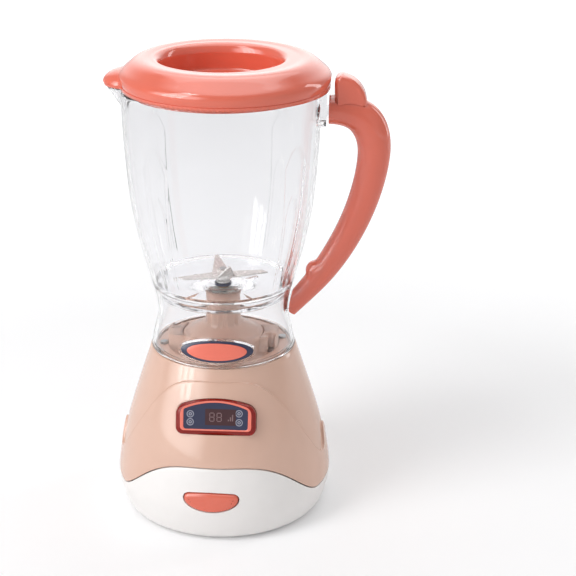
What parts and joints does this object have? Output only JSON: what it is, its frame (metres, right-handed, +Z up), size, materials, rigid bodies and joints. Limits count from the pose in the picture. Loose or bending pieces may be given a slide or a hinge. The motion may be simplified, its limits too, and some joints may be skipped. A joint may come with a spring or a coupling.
{
  "type": "toy blender",
  "caption": "Battery-powered toy blender: clear jug with handle, lid and spinning blades on a round base with a push button and a small display.",
  "frame": {"origin": "centre of the base's flat underside, on the axis of the base and jug", "axes": "+Z up along the axis of the base, jug and blades; the button and display face -Y; the handle points to +X and the spout to -X"},
  "size_m": [0.1372, 0.1097, 0.2316],
  "materials": {
    "white_abs": "satin moulded",
    "tan_abs": "gloss moulded",
    "coral_abs": "gloss moulded",
    "clear_plastic": "clear moulded polystyrene",
    "navy_label": "printed",
    "coral_label": "printed",
    "red_lens": "tinted clear plastic",
    "display_dark": "dark epoxy face",
    "circuit": "solder mask",
    "black_plastic": "moulded",
    "white_nylon": "moulded",
    "cell_wrap": "plain printed sleeve",
    "steel_screw": "zinc plated",
    "spring_steel": "nickel plated",
    "motor_can": "drawn and plated",
    "bronze_bush": "sintered bronze",
    "silver_blade": "vacuum plated plastic"
  },
  "bodies": {
    "base": {"lower_housing": "white_abs", "upper_housing": "tan_abs", "jug_seat": "tan_abs", "battery_cover": "white_abs", "battery_cover_screw": "steel_screw", "housing_screws": "steel_screw", "battery_cells": "cell_wrap", "battery_contacts": "spring_steel", "battery_springs": "spring_steel", "gear_frame": "black_plastic", "frame_bush": "bronze_bush", "shaft_bush": "bronze_bush", "motor": "motor_can", "motor_screws": "steel_screw", "seat_screws": "steel_screw", "ledge_screws": "steel_screw", "button_spring": "spring_steel", "push_switch": "black_plastic", "switch_board": "circuit", "display_lens": "red_lens", "display_label": "navy_label", "led_module": "display_dark", "circuit_board": "circuit", "display_screws": "steel_screw"},
    "drive": {"drive_shaft": "steel_screw", "drive_gear": "white_nylon", "drive_coupler": "white_nylon"},
    "rotor": {"motor_shaft": "steel_screw", "pinion": "white_nylon"},
    "button": {"push_button": "coral_abs"},
    "jug": {"jug_body": "clear_plastic", "jug_floor": "clear_plastic", "jug_bracket": "clear_plastic", "jug_collar": "clear_plastic", "badge_plate": "navy_label", "badge_inlay": "coral_label", "handle_front": "coral_abs", "handle_back": "coral_abs", "handle_screws": "steel_screw", "thumb_rest": "coral_abs", "spindle_bush": "bronze_bush", "hub_washer": "navy_label"},
    "blades": {"blade_spindle": "steel_screw", "driven_coupler": "white_nylon", "blade_spacer": "silver_blade", "lower_blade": "silver_blade", "upper_blade": "silver_blade", "blade_nut": "silver_blade"},
    "lid": {"lid_shell": "coral_abs", "lid_plug": "coral_abs"}
  },
  "joints": [
    {"name": "drive_spin", "type": "hinge", "parent": "base", "child": "drive", "pos_m": [0, 0, 0.085], "axis": [0, 0, 1], "continuous": true},
    {"name": "rotor_spin", "type": "hinge", "parent": "base", "child": "rotor", "pos_m": [0, 0.0125, 0.066], "axis": [0, 0, 1], "continuous": true},
    {"name": "button_press", "type": "slide", "parent": "base", "child": "button", "axis": [0, 1, 0], "range_m": [0, 0.0018], "stiffness_N_per_m": 900, "springref_m": -0.0012, "deforming": ["button_spring"]},
    {"name": "jug_lift", "type": "slide", "parent": "base", "child": "jug", "axis": [0, 0, 1], "range_m": [0, 0.05]},
    {"name": "blade_spin", "type": "hinge", "parent": "jug", "child": "blades", "pos_m": [0, 0, 0.118], "axis": [0, 0, 1], "continuous": true},
    {"name": "lid_lift", "type": "slide", "parent": "jug", "child": "lid", "axis": [0, 0, 1], "range_m": [0, 0.03]}
  ],
  "couplings": [
    {"joint": "rotor_spin", "follows": "drive_spin", "ratio": -4},
    {"joint": "blade_spin", "follows": "drive_spin", "ratio": 1}
  ]
}
